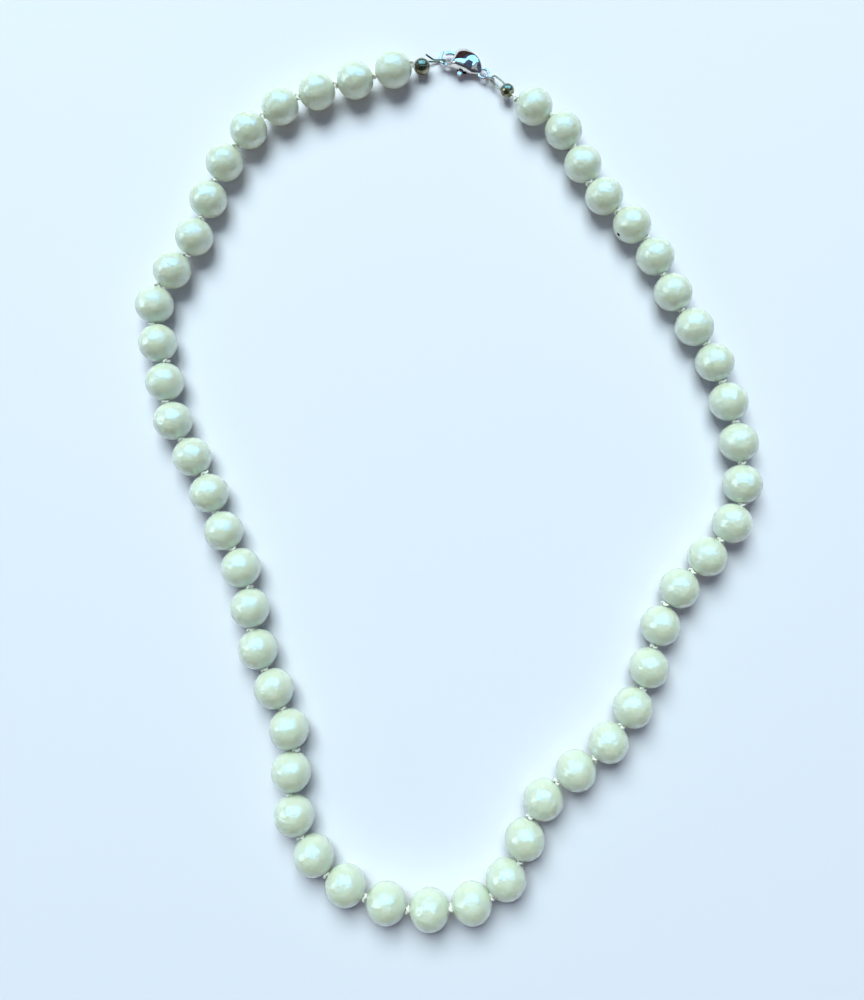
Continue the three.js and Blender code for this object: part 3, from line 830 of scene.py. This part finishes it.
def light(name, azimuth, elevation, distance, size, radiance, colour, lights=True, mirrored=True):
    """A soft rectangle of light that faces the necklace. Azimuth 0 is +Y and 90 is +X. Its power comes from
    the radiance asked for: power is radiance times area times pi. One that isn't mirrored lights things
    but leaves no highlight, and one that doesn't light is only mirrored."""
    lamp = bpy.data.lights.new(name, "AREA")
    lamp.shape = "RECTANGLE"
    lamp.size, lamp.size_y = size
    lamp.energy = radiance * size[0] * size[1] * math.pi
    lamp.color = colour
    made = bpy.data.objects.new(name, lamp)
    a, e = math.radians(azimuth), math.radians(elevation)
    away = np.array([math.sin(a) * math.cos(e), math.cos(a) * math.cos(e), math.sin(e)])
    z = away
    x = unit(np.cross(UP, z))
    turn = np.column_stack([x, np.cross(z, x), z])
    made.matrix_world = Matrix.Translation(away * distance) @ Matrix(turn.tolist()).to_4x4()
    made.visible_camera = False
    made.visible_diffuse = lights
    made.visible_glossy = mirrored
    bpy.context.scene.collection.objects.link(made)


def world():
    """A dim room that is only a little bluer and brighter on its +Y side, with a dark patch straight ahead
    there. The camera alone sees a pale backdrop. Each tone passes smoothly into the next across an edge."""
    made = bpy.data.worlds.new("room")
    made.use_nodes = True
    tree = made.node_tree
    tree.nodes.clear()
    place = add(tree, "ShaderNodeTexCoord").outputs["Generated"]
    way = add(tree, "ShaderNodeSeparateXYZ", Vector=place)
    cool = add(tree, "ShaderNodeVectorMath", {"operation": "DOT_PRODUCT"}, _0=place, _1=COOL_SIDE)
    seen = add(tree, "ShaderNodeLightPath").outputs["Is Camera Ray"]
    tone = WARM_TONE
    for value, edge, beyond in (
        (cool.outputs["Value"], COOL_EDGE, COOL_TONE),
        (way.outputs["Y"], SILL_EDGE, SILL_TONE),
        (seen, (0, 1), BACKDROP_TONE),
    ):
        ramp = add(tree, "ShaderNodeMapRange", {"interpolation_type": "SMOOTHSTEP"}, Value=value,
                   From_Min=edge[0], From_Max=edge[1])
        tone = add(tree, "ShaderNodeMix", {"data_type": "RGBA"}, Factor=ramp.outputs[0],
                   _6=tone, _7=beyond).outputs[2]
    background = add(tree, "ShaderNodeBackground", Color=tone)
    add(tree, "ShaderNodeOutputWorld", Surface=background.outputs[0])
    bpy.context.scene.world = made


COOL_SIDE = (-0.35, 0.94, 0.0)
COOL_EDGE = (-0.75, 0.65)
COOL_TONE = (0.10, 0.15, 0.28, 1)
WARM_TONE = (0.065, 0.08, 0.12, 1)
SILL_EDGE = (0.72, 0.95)
SILL_TONE = (0.05, 0.03, 0.03, 1)
BACKDROP_TONE = (0.70, 0.84, 0.95, 1)

floor()
world()
light("key", -12, 52, 2.6, (1.73, 1.52), 12.0, (0.745, 0.942, 1.0), mirrored=False)
light("window", 3, 50, 3.0, (5.0, 2.8), 3.5, (0.18, 0.56, 1.0), lights=False)
light("left_window", -86, 28, 3.0, (1.3, 1.6), 3.6, (0.85, 1.0, 1.0), lights=False)
light("ceiling", 180, 84, 3.0, (3.0, 1.6), 0.35, (0.80, 1.0, 0.86), lights=False)
light("fill", 172, 13, 3.0, (3.0, 0.8), 1.5, (1.0, 0.88, 0.56), mirrored=False)

camera = bpy.data.cameras.new("camera")
camera.sensor_width = 36.0
camera.lens = 33.055
camera.shift_y = -0.09
camera.clip_start = 0.01
camera_object = bpy.data.objects.new("camera", camera)
right, top, back = (0.9998, 0.0, -0.0194), (0.0023, 0.9930, 0.1181), (0.0193, -0.1181, 0.9928)
camera_turn = Matrix(np.column_stack([right, top, back]).tolist()).to_4x4()
camera_object.matrix_world = Matrix.Translation(np.array((1.36, -11.72, 193.3)) * MM) @ camera_turn
bpy.context.scene.collection.objects.link(camera_object)
bpy.context.scene.camera = camera_object
bpy.context.scene.view_settings.view_transform = "Standard"
